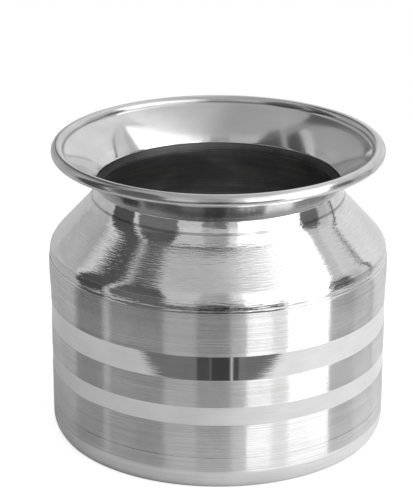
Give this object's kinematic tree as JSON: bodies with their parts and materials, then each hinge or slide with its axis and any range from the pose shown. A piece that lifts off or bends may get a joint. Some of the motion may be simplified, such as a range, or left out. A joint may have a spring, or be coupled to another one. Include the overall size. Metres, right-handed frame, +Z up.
{
  "type": "lota",
  "caption": "Small round metal water pot with a straight-walled body, a sloping shoulder, a short narrow neck and a wide flared mouth with a rolled rim.",
  "frame": {"origin": "centre of the flat bottom", "axes": "+Z up along the axis of revolution, with the mouth at the top; the vessel is round, so it has no front"},
  "size_m": [0.101, 0.101, 0.0883],
  "materials": {
    "turned_steel": "lathe-turned around the axis, with two satin bands",
    "polished_steel": "buffed bright, with faint turning lines",
    "mouth_steel": "buffed, with turning lines inside the flare",
    "wire_steel": "plain drawn wire",
    "weld_steel": "dressed weld metal"
  },
  "bodies": {
    "root": {"base_cup": "turned_steel", "shoulder_shell": "polished_steel", "flared_mouth": "mouth_steel", "rim_wire": "wire_steel", "shoulder_weld": "weld_steel", "neck_weld": "weld_steel"}
  },
  "joints": []
}
